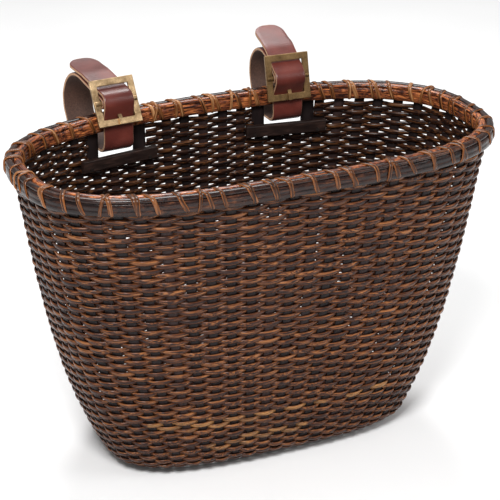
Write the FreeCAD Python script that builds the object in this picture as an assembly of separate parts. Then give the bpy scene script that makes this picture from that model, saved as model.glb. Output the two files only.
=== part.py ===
import FreeCAD, Part
import math
import os

# Woven rattan handlebar basket with two buckled leather straps. Millimetres.
# +X runs along the handlebar, +Y points back to the bicycle and +Z is up.
# The origin is the centre of the base's underside.

# ---- tub ----------------------------------------------------------------
RIM_HALF_WIDTH = 180.0      # rim centreline, from the middle to either end
RIM_FRONT = 94.0            # rim centreline, from the widest line to the front
RIM_BACK = 96.5             # and from the widest line to the back
FRONT_POWER = 3.0           # squareness of the oval in front of the widest line
BACK_POWER = 2.54           # and behind it
WIDEST_Y = -22.0            # where the oval is widest
RIM_HEIGHT = 237.0          # height of the rim's centreline
WALL_THICKNESS = 5.0
WALL_TOP = 229.0
BASE_THICKNESS = 5.0
BASE_EDGE = 6.0             # width of side weave turned in under the base's edge
CORNER_HEIGHT = 12.0        # height of the rounded lower corner
SEAM_ANGLE = 34.5           # of the side panels' seams, from the tub's long axis
SEAM_SHIFT = 0.2            # leaves a hairline gap at each seam
OUTLINE_POINTS = 48
# Inward slope, belly and corner rounding of the wall at its ends, front and back.
END_SHAPE = (40.0, 24.5, 9.0)
FRONT_SHAPE = (29.5, 11.5, 18.0)
BACK_SHAPE = (6.7, 0.0, 10.7)
WALL_LEVELS = (0.0, 0.4, 1.2, 2.4, 4.2, 6.8, 9.6, 12.0, 20.0, 40.0, 70.0, 110.0, 150.0, 190.0, WALL_TOP)
CAVITY_LEVELS = (BASE_THICKNESS, 6.8, 9.6, 12.0, 20.0, 40.0, 70.0, 110.0, 150.0, 190.0, WALL_TOP, WALL_TOP + 4)

# ---- rim bundle, as distances from the rim's centreline -------------------
HOOP_GAP = 1.3              # half the space between the two hoops
HOOP_DEPTH = 5.2
HOOP_BOTTOM = -6.7
HOOP_TOP = 2.9
HOOP_CROWN = 1.2            # how far the hoop's outer face bulges
CANE_OFFSET = 3.15
CANE_LIFT = 4.95
CANE_HALF_WIDTH = 3.05
CANE_HALF_HEIGHT = 1.75
LASHING_HALF_WIDTH = 6.75   # inside of a lashing wrap
LASHING_BOTTOM = -6.95
LASHING_TOP = 6.95
LASHING_CORNER = 2.4
LASHING_THICKNESS = 0.8
LASHING_WIDTH = 3.4

# ---- stakes ---------------------------------------------------------------
STAKE_COUNT = 57
STAKE_WIDTH = 8.0
STAKE_THICKNESS = 2.0
STAKE_TOP = 238.0

# ---- strap slots in the back wall -------------------------------------------
SLOT_X = {"left": -73.5, "right": 69.2}
SLOT_WIDTH = 30.0
POST_WIDTH = 11.0
POST_CLEARANCE = 0.3
NOTCH_DROP = 6.0            # from the slot bar's top down to the foot of the notch
BAR_TOP = {"left": 211.4, "right": 215.2}
BAR_LENGTH = 66.0
BAR_HEIGHT = 9.4
BAR_THICKNESS = 4.0
BAR_EDGE_ROUND = 0.8
BAR_STANDOFF = 0.3          # between the bar and the bowed wall at its ends
BRAD_RADIUS = 0.8
BRAD_LENGTH = 8.0
BRAD_HEAD_RADIUS = 1.5
BRAD_HEAD_HEIGHT = 0.5
BRAD_SPREAD = 26.0
BRAD_DROP = 7.4             # below the slot bar's top

# ---- straps and buckles -------------------------------------------------------
STRAP_WIDTH = 24.5
STRAP_THICKNESS = 2.5
FRAME_SIZE = 36.5
FRAME_WINDOW = 26.0
FRAME_THICKNESS = 2.4
FRAME_EDGE_ROUND = 0.5
BUCKLE_BAR_RADIUS = 1.75
BUCKLE_BAR_LENGTH = 33.0
LUG_WALL = 0.5              # frame metal round the bar's ends
LUG_INSET = 0.8             # lug ends stop this far inside the frame's edge
FOLD_RADIUS = 3.2           # strap centreline where it folds round the buckle bar
FOLD_LAP = 17.5             # how far the folded end reaches back from the bar
FOLD_LAP_OFFSET = 0.4
FOLD_EASE = 0.05            # keeps the two bends of the fold from meeting
LAP_BEND = (9.5, 5.0)       # where the folded end lifts towards the bar, and its radius
TURN_BEND = (2.5, 5.0)      # where it starts round the bar, and its radius
FOLD_SLOT = (4.2, 9.5, 9.6) # slot for the prong's eye: width, depth and height
FOLD_SLOT_CORNER = (-4.6, -4.8)
PRONG_CLEARANCE = 0.8
SLIT_DEPTH = 12.0
HOLE_RADIUS = 1.7
HOLE_PITCH = 21.0
TIP_GAP = 0.6               # between the strap and its free end at the flexing line
TIP_CORNER = 8.0
RIVET_RADIUS = 2.0
RIVET_HEAD_RADIUS = 3.8
RIVET_HEAD_HEIGHT = 0.7
RIVET_DISTANCE = 12.5
PRONG_WIDTH = 3.0
PRONG_THICKNESS = 1.5
PRONG_EYE_INNER = 1.85
PRONG_EYE_OUTER = 3.1
PRONG_PATH = ((-2.2, 0.0, 0), (-9.0, 0.0, 4), (-12.6, 2.05, 4), (-18.0, 2.05, 0))
PRONG_HOLE = (-12.8, -6.0)  # stretch below the buckle bar where the prong pierces the strap

# Each strap lies in an upright plane, turned by its yaw to follow the rim. In that plane
# are given y and z of the buckle bar, the buckle's lean, and the corners that the strap's
# centreline is bent round, each with its radius. "lap" is the direction in which the
# folded end leaves the buckle bar.
STRAPS = {
    "left": {
        "x": -75.5,
        "yaw": 4.5,
        "bar": (63.6, 253.4),
        "lean": 28.0,
        "lap": 9.9,
        "loop": ((133.0, 268.8, 26.0), (133.0, 207.9, 25.8), (80.0, 214.5, 20.0), (59.8, 214.5, 8.5)),
        "front": ((59.8, 241.0, 10.0), (55.6, 259.6, 7.5)),
        "flex": (77.3, 263.0),
        "tip": ((99.0, 266.8, 60.0), (126.3, 267.6, 0)),
        "tip_hole": 12.4,
    },
    "right": {
        "x": 69.5,
        "yaw": -3.0,
        "bar": (61.0, 254.0),
        "lean": 13.0,
        "lap": 32.0,
        "loop": ((110.5, 288.7, 23.5), (110.5, 232.4, 21.0), (80.0, 217.7, 12.0), (60.8, 217.7, 8.5)),
        "front": ((60.8, 241.0, 10.0), (52.5, 255.8, 6.8)),
        "flex": (69.7, 267.6),
        "tip": ((80.2, 274.5, 30.0), (105.5, 281.4, 0)),
        "tip_hole": 10.5,
    },
}


def vec(x, y, z):
    return FreeCAD.Vector(x, y, z)


X_AXIS = vec(1, 0, 0)
Y_AXIS = vec(0, 1, 0)
Z_AXIS = vec(0, 0, 1)


def export(shape, name):
    """Write one node, after checking that it is sound."""
    solids = shape.Solids
    print(name, "solids", len(solids), "volume", round(shape.Volume), "valid", shape.isValid())
    out = solids[0] if len(solids) == 1 else Part.Compound(solids)
    out.exportStep("parts/" + name + ".step")


# ---- oval outlines --------------------------------------------------------------
def oval_point(turn, half_width, front, back):
    """Point of an oval at parameter turn, which starts at the right end."""
    along = math.cos(turn)
    across = math.sin(turn)
    power = FRONT_POWER if across < 0 else BACK_POWER
    depth = front if across < 0 else back
    reach = (abs(along) ** power + abs(across) ** power) ** (-1 / power)
    return half_width * along * reach, WIDEST_Y + depth * across * reach


def oval_wire(z, half_width, front, back):
    turns = [2 * math.pi * i / OUTLINE_POINTS for i in range(OUTLINE_POINTS)]
    flat = [oval_point(turn, half_width, front, back) for turn in turns]
    curve = Part.BSplineCurve()
    curve.interpolate([vec(x, y, z) for x, y in flat], PeriodicFlag=True)
    return Part.Wire([curve.toShape()])


def inset(z, shape):
    """How far the wall at height z stands inside the rim line."""
    slope, belly, corner = shape
    drop = 1 - z / RIM_HEIGHT
    depth = slope * drop + belly * drop ** 4
    if z < CORNER_HEIGHT:
        depth += corner * (1 - math.sqrt(1 - (1 - z / CORNER_HEIGHT) ** 2))
    return depth


def wall_oval(z, offset):
    """Half width, front depth and back depth of the wall, offset from its middle surface."""
    half_width = RIM_HALF_WIDTH + offset - inset(z, END_SHAPE)
    front = RIM_FRONT + offset - inset(z, FRONT_SHAPE)
    back = RIM_BACK + offset - inset(z, BACK_SHAPE)
    return half_width, front, back


def wall_loft(levels, offset):
    return Part.makeLoft([oval_wire(z, *wall_oval(z, offset)) for z in levels], True, False, False, 3)


def back_wall_y(x, z, offset):
    """Y of the back wall's surface at x and z."""
    half_width, _, back = wall_oval(z, offset)
    return WIDEST_Y + back * (1 - abs(x / half_width) ** BACK_POWER) ** (1 / BACK_POWER)


def rim_stations(count, shift):
    """Evenly spaced places round the rim centreline: x, y and the angle of travel."""
    samples = 4000
    points = []
    for i in range(samples + 1):
        points.append(oval_point(2 * math.pi * i / samples, RIM_HALF_WIDTH, RIM_FRONT, RIM_BACK))
    lengths = [0.0]
    for a, b in zip(points, points[1:]):
        lengths.append(lengths[-1] + math.dist(a, b))
    stations = []
    place = 0
    for k in range(count):
        wanted = lengths[-1] * (k + shift) / count
        while lengths[place + 1] < wanted:
            place += 1
        a = points[place]
        b = points[place + 1]
        stations.append((a[0], a[1], math.degrees(math.atan2(b[1] - a[1], b[0] - a[0]))))
    return stations


def at_rim(shape, x, y, angle):
    """Put a shape built with Y outwards and X along the rim at a place on the rim."""
    placed = shape.copy()
    placed.rotate(vec(0, 0, 0), Z_AXIS, angle + 180)
    placed.translate(vec(x, y, 0))
    return placed


# ---- ribbons: bent strips of even thickness ---------------------------------------
def bend_route(corners):
    """Runs and arcs through a list of (a, b, radius) corners, as ribbon pieces."""
    pieces = []
    last = corners[0][:2]
    for before, corner, after in zip(corners, corners[1:], corners[2:]):
        radius = corner[2]
        heading_in = math.atan2(corner[1] - before[1], corner[0] - before[0])
        heading_out = math.atan2(after[1] - corner[1], after[0] - corner[0])
        turn = (heading_out - heading_in + math.pi) % (2 * math.pi) - math.pi
        reach = radius * math.tan(abs(turn) / 2)
        start = (corner[0] - reach * math.cos(heading_in), corner[1] - reach * math.sin(heading_in))
        pieces.append(("run", last, start))
        side = 1 if turn > 0 else -1
        centre_a = start[0] - side * radius * math.sin(heading_in)
        centre_b = start[1] + side * radius * math.cos(heading_in)
        pieces.append(("arc", (centre_a, centre_b), radius, heading_in, turn))
        last = (corner[0] + reach * math.cos(heading_out), corner[1] + reach * math.sin(heading_out))
    pieces.append(("run", last, corners[-1][:2]))
    return pieces


def arc_place(piece, share, offset):
    """Point at a share of an arc, moved by offset to the left of travel."""
    _, centre, radius, heading, turn = piece
    side = 1 if turn > 0 else -1
    angle = heading + turn * share
    out = radius - side * offset
    return centre[0] + side * out * math.sin(angle), centre[1] - side * out * math.cos(angle)


def run_place(piece, share, offset):
    _, start, end = piece
    length = math.dist(start, end)
    ahead = ((end[0] - start[0]) / length, (end[1] - start[1]) / length)
    along = length * share
    return start[0] + ahead[0] * along - ahead[1] * offset, start[1] + ahead[1] * along + ahead[0] * offset


def side_edges(pieces, offset):
    edges = []
    for piece in pieces:
        place = run_place if piece[0] == "run" else arc_place
        a, middle, b = [vec(0, *place(piece, share, offset)) for share in (0, 0.5, 1)]
        if piece[0] == "run":
            edges.append(Part.LineSegment(a, b).toShape())
        else:
            edges.append(Part.Arc(a, middle, b).toShape())
    return edges


def ribbon(corners, thickness, width):
    """Strip that follows the corners in the YZ plane, centred on x = 0."""
    pieces = bend_route(corners)
    left = side_edges(pieces, thickness / 2)
    right = side_edges(pieces, -thickness / 2)
    first = Part.LineSegment(right[0].firstVertex().Point, left[0].firstVertex().Point).toShape()
    last = Part.LineSegment(right[-1].lastVertex().Point, left[-1].lastVertex().Point).toShape()
    outline = Part.Wire(Part.__sortEdges__(left + right + [first, last]))
    strip = Part.Face(outline).extrude(vec(width, 0, 0))
    strip.translate(vec(-width / 2, 0, 0))
    return strip


def route_place(corners, distance):
    """Point and heading at a distance along a bent route."""
    for piece in bend_route(corners):
        length = math.dist(piece[1], piece[2]) if piece[0] == "run" else piece[2] * abs(piece[4])
        if distance <= length:
            share = distance / length
            if piece[0] == "run":
                heading = math.atan2(piece[2][1] - piece[1][1], piece[2][0] - piece[1][0])
                return run_place(piece, share, 0), heading
            return arc_place(piece, share, 0), piece[3] + piece[4] * share
        distance -= length
    raise ValueError("the route is shorter than the distance")


def punch(corners, distance, radius, depth):
    """Round cutter square to the ribbon at a distance along its route."""
    (y, z), heading = route_place(corners, distance)
    across = vec(0, -math.sin(heading), math.cos(heading))
    return Part.makeCylinder(radius, depth, vec(0, y, z) - across * (depth / 2), across)


# ---- tub and rim ---------------------------------------------------------------------
def notch_foot(side):
    return BAR_TOP[side] - NOTCH_DROP


def notch(side):
    """Opening cut down from the wall's top for a strap and its two posts."""
    width = SLOT_WIDTH + 2 * (POST_WIDTH + POST_CLEARANCE)
    return Part.makeBox(width, 60, 40, vec(SLOT_X[side] - width / 2, 45, notch_foot(side)))


def base_oval(extra):
    half_width, front, back = wall_oval(0, WALL_THICKNESS / 2)
    return half_width - BASE_EDGE + extra, front - BASE_EDGE + extra, back - BASE_EDGE + extra


def build_base():
    face = Part.Face(oval_wire(0, *base_oval(0)))
    return face.extrude(vec(0, 0, BASE_THICKNESS))


def end_wedge(side, shift):
    """Upright wedge from the tub's middle that takes in its right (1) or left (-1) end."""
    spread = 2 * RIM_HALF_WIDTH * math.tan(math.radians(SEAM_ANGLE))
    tip = vec(-side * shift, WIDEST_Y, -1)
    far_front = tip + vec(side * 2 * RIM_HALF_WIDTH, -spread, 0)
    far_back = tip + vec(side * 2 * RIM_HALF_WIDTH, spread, 0)
    outline = Part.makePolygon([tip, far_front, far_back, tip])
    return Part.Face(outline).extrude(vec(0, 0, RIM_HEIGHT))


def half_block(side):
    """Block that takes in all of the tub behind (1) or in front of (-1) its widest line."""
    near = WIDEST_Y + side * SEAM_SHIFT / 2
    corner = vec(-RIM_HALF_WIDTH - 10, min(near, near + side * 2 * RIM_BACK), -1)
    return Part.makeBox(2 * RIM_HALF_WIDTH + 20, 2 * RIM_BACK, RIM_HEIGHT, corner)


def build_side(brads):
    """The woven side as six panels that meet at upright seams."""
    outer = wall_loft(WALL_LEVELS, WALL_THICKNESS / 2)
    cavity = wall_loft(CAVITY_LEVELS, -WALL_THICKNESS / 2)
    floor_hole = Part.Face(oval_wire(-1, *base_oval(0.1))).extrude(vec(0, 0, BASE_THICKNESS + 2))
    side = outer.cut(cavity).cut(floor_hole)
    for slot in SLOT_X:
        side = side.cut(notch(slot))
    side = side.cut(Part.Compound(brads))
    middle = side.cut(end_wedge(1, SEAM_SHIFT)).cut(end_wedge(-1, SEAM_SHIFT))
    front, back = sorted(middle.Solids, key=lambda solid: solid.CenterOfMass.y)
    panels = {"front": front, "back": back}
    for place, end in (("left", side.common(end_wedge(-1, 0))), ("right", side.common(end_wedge(1, 0)))):
        panels[place + "_front"] = end.common(half_block(-1))
        panels[place + "_back"] = end.common(half_block(1))
    return panels


def rim_path():
    return oval_wire(RIM_HEIGHT, RIM_HALF_WIDTH, RIM_FRONT, RIM_BACK)


def rim_section(points):
    """Closed profile at the right end of the rim; points are outward and upward distances."""
    base = vec(RIM_HALF_WIDTH, WIDEST_Y, RIM_HEIGHT)
    return [base + vec(out, 0, up) for out, up in points]


def build_hoop(side):
    """Half-round hoop; side is 1 for the outer hoop and -1 for the inner one."""
    near = side * HOOP_GAP
    far = side * (HOOP_GAP + HOOP_DEPTH - HOOP_CROWN)
    crown = side * (HOOP_GAP + HOOP_DEPTH)
    middle = (HOOP_TOP + HOOP_BOTTOM) / 2
    corners = rim_section([
        (near, HOOP_BOTTOM), (far, HOOP_BOTTOM), (crown, middle), (far, HOOP_TOP), (near, HOOP_TOP),
    ])
    edges = [
        Part.LineSegment(corners[0], corners[1]).toShape(),
        Part.Arc(corners[1], corners[2], corners[3]).toShape(),
        Part.LineSegment(corners[3], corners[4]).toShape(),
        Part.LineSegment(corners[4], corners[0]).toShape(),
    ]
    return rim_path().makePipeShell([Part.Wire(edges)], True, False)


def build_cane(side):
    centre = rim_section([(side * CANE_OFFSET, CANE_LIFT)])[0]
    oval = Part.Ellipse(centre, CANE_HALF_WIDTH, CANE_HALF_HEIGHT).toShape()
    oval.rotate(centre, X_AXIS, 90)
    return rim_path().makePipeShell([Part.Wire([oval])], True, False)


def rounded_tube(half_width, bottom, top, corner, length):
    """Rounded-rectangle prism along X, in the rim's own section."""
    foot = vec(-length / 2, -half_width, RIM_HEIGHT + bottom)
    box = Part.makeBox(length, 2 * half_width, top - bottom, foot)
    long_edges = [edge for edge in box.Edges if abs(edge.tangentAt(edge.FirstParameter).x) > 0.9]
    return box.makeFillet(corner, long_edges)


def build_lashing():
    grow = LASHING_THICKNESS
    outside = rounded_tube(
        LASHING_HALF_WIDTH + grow,
        LASHING_BOTTOM - grow,
        LASHING_TOP + grow,
        LASHING_CORNER + grow,
        LASHING_WIDTH,
    )
    inside = rounded_tube(
        LASHING_HALF_WIDTH, LASHING_BOTTOM, LASHING_TOP, LASHING_CORNER, LASHING_WIDTH + 2
    )
    wrap = outside.cut(inside)
    places = [beside_posts(place) for place in rim_stations(STAKE_COUNT, 0.5)]
    return Part.Compound([at_rim(wrap, *place) for place in places])


def post_xs():
    reach = (SLOT_WIDTH + POST_WIDTH) / 2
    return [slot_x + side * reach for slot_x in SLOT_X.values() for side in (-1, 1)]


def back_place(x):
    """Station on the rim centreline at x on the back."""
    y = back_wall_y(x, RIM_HEIGHT, 0)
    slope = (back_wall_y(x + 1, RIM_HEIGHT, 0) - back_wall_y(x - 1, RIM_HEIGHT, 0)) / 2
    return x, y, math.degrees(math.atan(slope)) + 180


def beside_posts(place):
    """Shift a lashing wrap that would cross a slot post to that post's nearer side."""
    clear = (POST_WIDTH + LASHING_WIDTH) / 2 + POST_CLEARANCE
    for post_x in post_xs():
        off = place[0] - post_x
        if place[1] > 0 and abs(off) < clear:
            return back_place(post_x + math.copysign(clear, off))
    return place


def in_notch(x, y, margin):
    half = SLOT_WIDTH / 2 + POST_WIDTH + margin
    return y > 0 and any(abs(x - slot_x) < half for slot_x in SLOT_X.values())


def build_stakes():
    """Upper ends of the stakes, from the top of the weave up between the hoops."""
    foot = WALL_TOP + 0.1
    stake = Part.makeBox(
        STAKE_WIDTH, STAKE_THICKNESS, STAKE_TOP - foot, vec(-STAKE_WIDTH / 2, -STAKE_THICKNESS / 2, foot)
    )
    places = rim_stations(STAKE_COUNT, 0.0)
    kept = [place for place in places if not in_notch(place[0], place[1], STAKE_WIDTH / 2 + 0.5)]
    return Part.Compound([at_rim(stake, *place) for place in kept])


# ---- strap slots ------------------------------------------------------------------------
def build_post(slot, side):
    """Flat post on one side of a slot, rising from the wall up between the hoops."""
    x = SLOT_X[slot] + side * (SLOT_WIDTH + POST_WIDTH) / 2
    foot = notch_foot(slot) + POST_CLEARANCE
    width = POST_WIDTH - POST_CLEARANCE
    corner = vec(-width / 2, -STAKE_THICKNESS / 2, foot)
    post = Part.makeBox(width, STAKE_THICKNESS, STAKE_TOP - foot, corner)
    return at_rim(post, *back_place(x))


def bar_frame(slot):
    """Middle of a slot bar's back face, and the angle that its chord makes with X."""
    half = BAR_LENGTH / 2
    inner = -WALL_THICKNESS / 2 - BAR_STANDOFF
    foot = BAR_TOP[slot] - BAR_HEIGHT
    left_y = back_wall_y(SLOT_X[slot] - half, foot, inner)
    right_y = back_wall_y(SLOT_X[slot] + half, foot, inner)
    return (left_y + right_y) / 2, math.degrees(math.atan2(right_y - left_y, BAR_LENGTH))


def at_bar(shape, slot):
    """Move a shape built about a slot bar's back face to its place on the wall."""
    middle, angle = bar_frame(slot)
    placed = shape.copy()
    placed.rotate(vec(0, 0, 0), Z_AXIS, angle)
    placed.translate(vec(SLOT_X[slot], middle, BAR_TOP[slot]))
    return placed


def build_brads(slot):
    brads = []
    for side in (-1, 1):
        face = vec(side * BRAD_SPREAD, -BAR_THICKNESS, -BRAD_DROP)
        shank = Part.makeCylinder(BRAD_RADIUS, BRAD_LENGTH, face, Y_AXIS)
        crown = face - Y_AXIS * BRAD_HEAD_HEIGHT
        head = Part.makeCylinder(BRAD_HEAD_RADIUS, BRAD_HEAD_HEIGHT, crown, Y_AXIS)
        brads.append(shank.fuse(head).removeSplitter())
    return at_bar(Part.Compound(brads), slot)


def build_bar(slot, brads):
    corner = vec(-BAR_LENGTH / 2, -BAR_THICKNESS, -BAR_HEIGHT)
    bar = Part.makeBox(BAR_LENGTH, BAR_THICKNESS, BAR_HEIGHT, corner)
    front = [e for e in bar.Edges if all(v.Point.y < -BAR_THICKNESS / 2 for v in e.Vertexes)]
    return at_bar(bar.makeFillet(BAR_EDGE_ROUND, front), slot).cut(brads)


# ---- straps ----------------------------------------------------------------------------------
def lap_place(strap, along, above):
    """Point given by its distances along and above the folded end's direction."""
    angle = math.radians(strap["lap"])
    y, z = strap["bar"]
    ahead = (math.cos(angle), math.sin(angle))
    return y + along * ahead[0] - above * ahead[1], z + along * ahead[1] + above * ahead[0]


def fold_corners(strap):
    """The folded end: a lap under the strap, then the turn round the buckle bar."""
    turn = FOLD_RADIUS - FOLD_EASE
    return (
        (*lap_place(strap, FOLD_LAP, FOLD_LAP_OFFSET), 0),
        (*lap_place(strap, LAP_BEND[0], FOLD_LAP_OFFSET), LAP_BEND[1]),
        (*lap_place(strap, TURN_BEND[0], -FOLD_RADIUS), TURN_BEND[1]),
        (*lap_place(strap, -FOLD_RADIUS, -FOLD_RADIUS), turn),
        (*lap_place(strap, -FOLD_RADIUS, FOLD_RADIUS), turn),
    )


def toward(a, b, distance):
    """Point at a distance from a on the way to b."""
    share = distance / math.dist(a, b)
    return a[0] + (b[0] - a[0]) * share, a[1] + (b[1] - a[1]) * share


def strap_corners(strap):
    flex = strap["flex"]
    stop = toward(flex, strap["front"][-1][:2], TIP_GAP / 2)
    return fold_corners(strap) + strap["loop"] + strap["front"] + ((*stop, 0),)


def tip_corners(strap):
    start = toward(strap["flex"], strap["tip"][0][:2], TIP_GAP / 2)
    return ((*start, 0),) + strap["tip"]


def turn_strap(shape, strap):
    """Turn a finished strap part so that it follows the rim."""
    turned = shape.copy()
    turned.rotate(vec(strap["x"], back_wall_y(strap["x"], RIM_HEIGHT, 0), 0), Z_AXIS, strap["yaw"])
    return turned


def place_buckle(shape, strap):
    """Move a part built upright round the buckle bar to its leaning place."""
    placed = shape.copy()
    placed.rotate(vec(0, 0, 0), X_AXIS, -strap["lean"])
    placed.translate(vec(strap["x"], *strap["bar"]))
    return placed


def buckle_ribbon(corners, thickness, width):
    """Ribbon given by heights above the buckle bar and distances in front of it."""
    return ribbon([(-ahead, up, radius) for up, ahead, radius in corners], thickness, width)


def build_strap(strap):
    corners = strap_corners(strap)
    body = ribbon(corners, STRAP_THICKNESS, STRAP_WIDTH)
    body.translate(vec(strap["x"], 0, 0))
    low, high = PRONG_HOLE
    width = PRONG_WIDTH + PRONG_CLEARANCE
    slit = Part.makeBox(width, SLIT_DEPTH, high - low, vec(-width / 2, -SLIT_DEPTH / 2, low))
    fold = Part.makeBox(*FOLD_SLOT, vec(-FOLD_SLOT[0] / 2, *FOLD_SLOT_CORNER))
    cuts = [place_buckle(slit, strap), place_buckle(fold, strap)]
    total = sum(piece_length(piece) for piece in bend_route(corners))
    for distance in hole_distances(strap, total):
        cutter = punch(corners, distance, HOLE_RADIUS, 4 * STRAP_THICKNESS / 3)
        cutter.translate(vec(strap["x"], 0, 0))
        cuts.append(cutter)
    return body.cut(Part.Compound(cuts)).cut(build_rivet(strap))


def piece_length(piece):
    return math.dist(piece[1], piece[2]) if piece[0] == "run" else piece[2] * abs(piece[4])


def hole_distances(strap, total):
    """Spare holes above and below the prong, counted back from the flexing line."""
    first = total - (HOLE_PITCH - strap["tip_hole"])
    return [first, first - 2 * HOLE_PITCH]


def build_tip(strap):
    corners = tip_corners(strap)
    tip = ribbon(corners, STRAP_THICKNESS, STRAP_WIDTH)
    end_y = strap["tip"][-1][0]
    corner_edges = []
    for edge in tip.Edges:
        ends = [v.Point for v in edge.Vertexes]
        across = all(p.y > end_y - 2 for p in ends) and abs(ends[0].x - ends[-1].x) < 0.1
        if across and edge.Length < STRAP_THICKNESS * 1.1:
            corner_edges.append(edge)
    tip = tip.makeFillet(TIP_CORNER, corner_edges)
    tip = tip.cut(punch(corners, strap["tip_hole"], HOLE_RADIUS, 2 * STRAP_THICKNESS))
    tip.translate(vec(strap["x"], 0, 0))
    return tip


def build_rivet(strap):
    """Two-headed rivet through the strap and its folded end."""
    half = STRAP_THICKNESS / 2
    low = FOLD_LAP_OFFSET - half
    high = FOLD_RADIUS + half
    angle = math.radians(strap["lap"])
    up = vec(0, -math.sin(angle), math.cos(angle))
    foot = vec(strap["x"], *lap_place(strap, RIVET_DISTANCE, low))
    shank = Part.makeCylinder(RIVET_RADIUS, high - low, foot, up)
    heads = []
    for base in (foot - up * RIVET_HEAD_HEIGHT, foot + up * (high - low)):
        heads.append(Part.makeCylinder(RIVET_HEAD_RADIUS, RIVET_HEAD_HEIGHT, base, up))
    return shank.fuse(heads).removeSplitter()


# ---- buckles ------------------------------------------------------------------------------------
def buckle_bar():
    end = vec(-BUCKLE_BAR_LENGTH / 2, 0, 0)
    return Part.makeCylinder(BUCKLE_BAR_RADIUS, BUCKLE_BAR_LENGTH, end, X_AXIS)


def plate(size, thickness):
    return Part.makeBox(size, thickness, size, vec(-size / 2, -thickness / 2, -size / 2))


def build_frame():
    """Square frame, drilled in its sides for the bar; it stands in the XZ plane."""
    frame = plate(FRAME_SIZE, FRAME_THICKNESS).cut(plate(FRAME_WINDOW, 3 * FRAME_THICKNESS))
    frame = frame.makeFillet(FRAME_EDGE_ROUND, frame.Edges)
    lug_radius = BUCKLE_BAR_RADIUS + LUG_WALL
    lug_length = (FRAME_SIZE - FRAME_WINDOW) / 2 - LUG_INSET
    for start in (FRAME_WINDOW / 2, LUG_INSET - FRAME_SIZE / 2):
        frame = frame.fuse(Part.makeCylinder(lug_radius, lug_length, vec(start, 0, 0), X_AXIS))
    return frame.cut(buckle_bar())


def build_prong():
    width = PRONG_WIDTH
    eye = Part.makeCylinder(PRONG_EYE_OUTER, width, vec(-width / 2, 0, 0), X_AXIS)
    tongue = buckle_ribbon(PRONG_PATH, PRONG_THICKNESS, width)
    bore = Part.makeCylinder(PRONG_EYE_INNER, width + 2, vec(-width / 2 - 1, 0, 0), X_AXIS)
    return eye.fuse(tongue).cut(bore).removeSplitter()


# ---- write every node ------------------------------------------------------------------------------
os.makedirs("parts", exist_ok=True)

all_brads = {slot: build_brads(slot) for slot in SLOT_X}
export(build_base(), "base_weave")
for place, panel in build_side(list(all_brads.values())).items():
    export(panel, "side_weave_" + place)
export(build_stakes(), "stakes")
export(build_hoop(1), "rim_outer_hoop")
export(build_hoop(-1), "rim_inner_hoop")
export(build_cane(1), "rim_top_cane_outer")
export(build_cane(-1), "rim_top_cane_inner")
export(build_lashing(), "rim_lashing")

for slot, brads in all_brads.items():
    export(build_bar(slot, brads), slot + "_slot_bar")
    export(brads, slot + "_slot_bar_brads")
    export(build_post(slot, -1), slot + "_slot_post_left")
    export(build_post(slot, 1), slot + "_slot_post_right")

for side, strap in STRAPS.items():
    export(turn_strap(build_strap(strap), strap), side + "_strap")
    export(turn_strap(build_tip(strap), strap), side + "_strap_tip")
    export(turn_strap(build_rivet(strap), strap), side + "_strap_rivet")
    export(turn_strap(place_buckle(build_frame(), strap), strap), side + "_buckle_frame")
    export(turn_strap(place_buckle(buckle_bar(), strap), strap), side + "_buckle_bar")
    export(turn_strap(place_buckle(build_prong(), strap), strap), side + "_buckle_prong")
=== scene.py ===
import math

import bpy
import numpy as np
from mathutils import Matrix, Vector


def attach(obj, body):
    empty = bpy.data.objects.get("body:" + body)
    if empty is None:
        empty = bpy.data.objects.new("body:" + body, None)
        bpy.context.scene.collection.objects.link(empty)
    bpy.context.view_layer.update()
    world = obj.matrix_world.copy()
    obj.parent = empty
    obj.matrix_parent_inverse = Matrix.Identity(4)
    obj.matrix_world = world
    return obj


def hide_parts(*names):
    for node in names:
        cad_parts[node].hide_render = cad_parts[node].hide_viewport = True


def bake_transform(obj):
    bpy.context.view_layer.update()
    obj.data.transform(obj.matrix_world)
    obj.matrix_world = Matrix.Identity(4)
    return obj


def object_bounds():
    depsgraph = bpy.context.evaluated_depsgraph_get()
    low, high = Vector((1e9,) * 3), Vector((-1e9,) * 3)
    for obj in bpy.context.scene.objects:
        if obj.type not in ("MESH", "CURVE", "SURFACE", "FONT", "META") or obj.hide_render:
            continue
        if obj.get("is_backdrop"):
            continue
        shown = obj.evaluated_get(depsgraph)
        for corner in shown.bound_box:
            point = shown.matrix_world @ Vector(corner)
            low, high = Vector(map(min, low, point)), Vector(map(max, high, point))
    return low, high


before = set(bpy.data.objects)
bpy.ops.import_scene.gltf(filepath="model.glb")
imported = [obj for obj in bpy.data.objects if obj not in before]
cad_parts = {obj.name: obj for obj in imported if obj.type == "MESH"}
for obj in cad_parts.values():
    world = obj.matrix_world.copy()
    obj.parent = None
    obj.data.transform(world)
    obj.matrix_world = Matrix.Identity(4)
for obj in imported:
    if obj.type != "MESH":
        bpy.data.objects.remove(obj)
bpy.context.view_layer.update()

# Lengths are in millimetres until a mesh is made. x runs along the rim, y towards the handlebar, z up.
MM = 0.001

# ------------------------------------------------------------------ tub shape
RIM_HALF_WIDTH, RIM_FRONT, RIM_BACK = 180.0, 94.0, 96.5
FRONT_POWER, BACK_POWER = 3.0, 2.54     # squareness of the oval's two halves: 2 is an ellipse
WIDEST_Y = -22.0
RIM_HEIGHT = 237.0                      # middle of the rim bundle
WALL_TOP = 229.0
CORNER_HEIGHT = 12.0
CORNER_LENGTH = 21.0                    # along the weave, round the lower corner
FLOOR_LIFT = 3.4                        # middle of the weave above the ground, under the corner
# How far the wall comes in from the rim: by its slope, by its belly and by the round of the corner.
END_SHAPE = (40.0, 24.5, 9.0)
FRONT_SHAPE = (29.5, 11.5, 18.0)
BACK_SHAPE = (6.7, 0.0, 10.7)
STAKES = 57

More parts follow.
